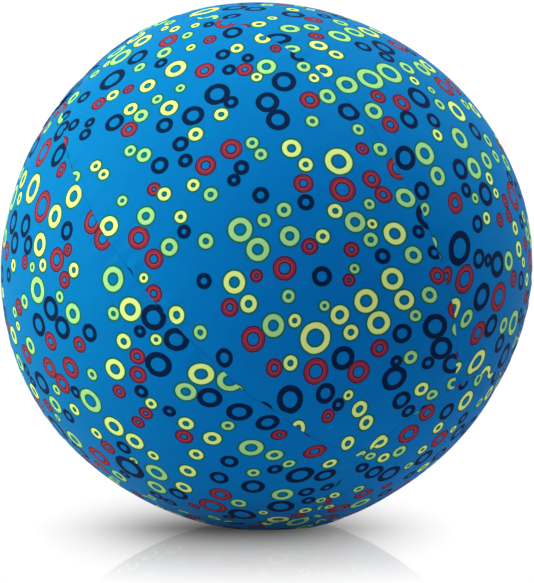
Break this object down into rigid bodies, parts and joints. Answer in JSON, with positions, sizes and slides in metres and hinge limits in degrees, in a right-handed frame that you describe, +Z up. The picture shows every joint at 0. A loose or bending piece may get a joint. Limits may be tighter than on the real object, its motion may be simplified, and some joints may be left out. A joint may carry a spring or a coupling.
{
  "type": "balloon ball",
  "caption": "Soft play ball: a sewn cotton cover of gores and round ends, printed with rings, over an inflated balloon, with an overlapping flap at its opening.",
  "frame": {"origin": "middle of the flat patch that the ball rests on, on the ground", "axes": "+Z up; the picture looks along +Y; the pole axis leans 42.7 degrees from +Z, with the opening up, left and behind"},
  "size_m": [0.2793, 0.2797, 0.2777],
  "materials": {
    "printed_cotton": "matte plain weave with a print of rings",
    "sewing_thread": "satin polyester thread",
    "latex": "satin latex skin"
  },
  "bodies": {
    "cover": {"gore_panel_1": "printed_cotton", "gore_panel_2": "printed_cotton", "gore_panel_3": "printed_cotton", "gore_panel_4": "printed_cotton", "gore_panel_5": "printed_cotton", "gore_panel_6": "printed_cotton", "closed_end": "printed_cotton", "flap_back": "printed_cotton", "inner_flap": "printed_cotton", "gore_seam_thread_1": "sewing_thread", "gore_seam_thread_2": "sewing_thread", "gore_seam_thread_3": "sewing_thread", "gore_seam_thread_4": "sewing_thread", "gore_seam_thread_5": "sewing_thread", "gore_seam_thread_6": "sewing_thread", "closed_end_thread": "sewing_thread", "opening_end_thread": "sewing_thread", "inner_hem_thread": "sewing_thread", "balloon": "latex"},
    "flap": {"opening_flap": "printed_cotton", "flap_hem_thread": "sewing_thread"}
  },
  "joints": [
    {"name": "flap_fold", "type": "hinge", "parent": "cover", "child": "flap", "pos_m": [-0.0808, 0.04064, 0.24456], "axis": [0.4493, 0.8934, 0], "range_deg": [0, 110]}
  ]
}
